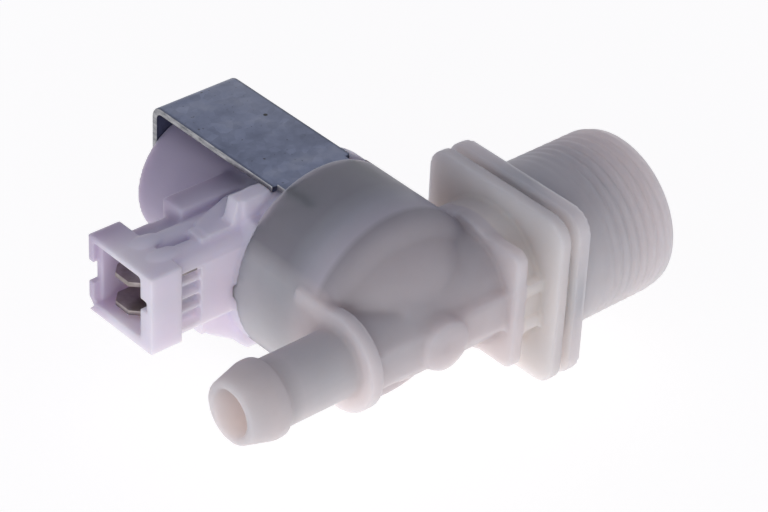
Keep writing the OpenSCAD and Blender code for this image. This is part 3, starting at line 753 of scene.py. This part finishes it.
def coil_spring(material):
    """The return spring as a smooth helix."""
    low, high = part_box("armature_spring")
    wire = 0.25 * MM
    radius = (high.x - low.x) / 2 - wire
    turns, steps, sides = 6, 28, 12
    rise = high.y - low.y - 2 * wire
    rows = turns * steps + 1

    def point(i, j):
        around = 2 * math.pi * i / steps
        section = 2 * math.pi * j / sides
        tip = 0.02 if i in (0, rows - 1) else 1
        r = radius + wire * tip * math.cos(section)
        y = low.y + wire + rise * i / (rows - 1) + wire * tip * math.sin(section)
        return COIL_X + r * math.cos(around), y, r * math.sin(around)

    obj = link(grid("spring", rows, sides, point), "armature_spring_look", "root")
    paint(obj, material)
    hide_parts("armature_spring")
    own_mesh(obj)
    return obj


def diaphragm(material):
    """The rubber diaphragm: its bead stays clamped and its middle lifts with the insert."""
    low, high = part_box("diaphragm")
    bead_r = (high.x - low.x) / 2
    disc_r = 6.2 * MM
    mesh = cad_mesh("diaphragm")
    obj = moulded(mesh, "diaphragm_look", RUBBER_VOXEL * MM, 3)
    paint(obj, material)
    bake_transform(obj, "root", "diaphragm_centre", start=(COIL_X + bead_r, 0, 0), end=(COIL_X, 0, 0))
    weights = obj.data.attributes["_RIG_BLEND"].data
    for vertex, weight in zip(obj.data.vertices, weights):
        r = math.hypot(vertex.co.x - COIL_X, vertex.co.z)
        weight.value = ease((bead_r - 2.6 * MM - r) / (bead_r - 2.6 * MM - disc_r))
    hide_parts("diaphragm")
    return obj


def repaint(nodes, material):
    """Gives CAD nodes that stay as they are their finish."""
    for name in nodes:
        node = frame["nodes"][name]
        paint(node, material)


# Stage, light and camera

def add_floor():
    """A pale floor, lit like a light table, that shows white and keeps a soft shadow."""
    bpy.ops.mesh.primitive_plane_add(size=4, location=(0, 0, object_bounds()[0].z - FLOOR_DROP))
    floor = bpy.context.object
    floor.name = "floor"
    material = bpy.data.materials.new("floor")
    material.use_nodes = True
    nodes, links = material.node_tree.nodes, material.node_tree.links
    diffuse = nodes["Principled BSDF"]
    diffuse.inputs["Base Color"].default_value = (0.86, 0.86, 0.86, 1)
    diffuse.inputs["Roughness"].default_value = 1
    diffuse.inputs["Specular IOR Level"].default_value = 0
    diffuse.inputs["Emission Color"].default_value = (1.0, 0.965, 0.955, 1)
    diffuse.inputs["Emission Strength"].default_value = FLOOR_GLOW
    white = nodes.new("ShaderNodeEmission")
    share = nodes.new("ShaderNodeMath")
    share.operation = "MULTIPLY"
    share.inputs[1].default_value = 0.7
    mix = nodes.new("ShaderNodeMixShader")
    links.new(seen_by_eye(nodes, links), share.inputs[0])
    links.new(share.outputs[0], mix.inputs[0])
    links.new(diffuse.outputs[0], mix.inputs[1])
    links.new(white.outputs[0], mix.inputs[2])
    links.new(mix.outputs[0], nodes["Material Output"].inputs["Surface"])
    floor.data.materials.append(material)


def seen_by_eye(nodes, links):
    """1 for camera, glossy and transmission rays."""
    path = nodes.new("ShaderNodeLightPath")
    add = nodes.new("ShaderNodeMath")
    add.operation = "MAXIMUM"
    more = nodes.new("ShaderNodeMath")
    more.operation = "MAXIMUM"
    links.new(path.outputs["Is Camera Ray"], add.inputs[0])
    links.new(path.outputs["Is Glossy Ray"], add.inputs[1])
    links.new(add.outputs[0], more.inputs[0])
    links.new(path.outputs["Is Transmission Ray"], more.inputs[1])
    return more.outputs[0]


def add_world():
    """White to the eye; to the object a dim, slightly blue surround."""
    world = bpy.data.worlds.new("world")
    bpy.context.scene.world = world
    world.use_nodes = True
    nodes, links = world.node_tree.nodes, world.node_tree.links
    fill = nodes["Background"]
    fill.inputs["Color"].default_value = (0.78, 0.80, 1.0, 1)
    fill.inputs["Strength"].default_value = 0.29
    white = nodes.new("ShaderNodeBackground")
    white.inputs["Color"].default_value = (1, 1, 1, 1)
    mix = nodes.new("ShaderNodeMixShader")
    links.new(seen_by_eye(nodes, links), mix.inputs[0])
    links.new(fill.outputs[0], mix.inputs[1])
    links.new(white.outputs[0], mix.inputs[2])
    links.new(mix.outputs[0], nodes["World Output"].inputs["Surface"])


def add_light(name, place, size, power, colour=(1, 1, 1)):
    """A square area lamp that looks at the valve."""
    data = bpy.data.lights.new(name, "AREA")
    data.size = size
    data.energy = power
    data.color = colour
    lamp = bpy.data.objects.new(name, data)
    bpy.context.scene.collection.objects.link(lamp)
    aim = Vector((-20 * MM, 10 * MM, 0)) - Vector(place)
    lamp.location = place
    lamp.rotation_mode = "QUATERNION"
    lamp.rotation_quaternion = aim.to_track_quat("-Z", "Y")


def add_camera():
    """The photograph's camera."""
    back = Vector((
        math.sin(CAM_AZIMUTH) * math.cos(CAM_ELEVATION),
        -math.cos(CAM_AZIMUTH) * math.cos(CAM_ELEVATION),
        math.sin(CAM_ELEVATION),
    ))
    level = Vector((math.cos(CAM_AZIMUTH), math.sin(CAM_AZIMUTH), 0))
    upright = back.cross(level)
    right = level * math.cos(CAM_ROLL) + upright * math.sin(CAM_ROLL)
    up = upright * math.cos(CAM_ROLL) - level * math.sin(CAM_ROLL)
    data = bpy.data.cameras.new("camera")
    data.lens = CAM_LENS
    data.sensor_width = 36
    data.clip_start = 0.01
    data.clip_end = 20
    camera = bpy.data.objects.new("camera", data)
    bpy.context.scene.collection.objects.link(camera)
    pose = Matrix((right, up, back)).transposed().to_4x4()
    pose.translation = right * CAM_ASIDE + up * CAM_ABOVE + back * CAM_DISTANCE
    camera.matrix_world = pose
    bpy.context.scene.camera = camera


def main():
    inner, steel_look, black = white_plastic(), steel(), rubber()
    valve_body(nylon())
    zinc, sheared = galvanised(), cut_edge()
    bevelled("yoke_bracket", "yoke_bracket_look", zinc, 0.22 * MM, edge=sheared)
    blades = tin()
    coil_housing(coil_plastic(), blades)
    for node in ("terminal_upper", "terminal_lower"):
        blade = bevelled(node, node + "_look", blades, 0.1 * MM)
        for vertex in blade.data.vertices:
            if vertex.co.x < BLADE_TIP:
                vertex.co.x -= BLADE_REACH
    coil_spring(steel_look)
    diaphragm(black)
    repaint(["inlet_filter"], filter_plastic())
    repaint(["regulator_holder", "armature_guide", "diaphragm_insert", "bobbin"], inner)
    repaint(["regulator_washer", "pilot_seal"], black)
    repaint(["armature", "flux_plate", "lower_pole_bush", "upper_pole_bush"], steel_look)
    repaint(["winding"], copper())
    add_floor()
    add_world()
    add_light("key", (-0.45, -0.55, 0.03), 0.5, 1.7, (1.0, 0.98, 0.97))
    add_light("side", (-0.75, -0.1, 0.20), 0.5, 0.6, (0.95, 0.96, 1.0))
    add_camera()
    bpy.context.scene.view_settings.view_transform = "Standard"


main()
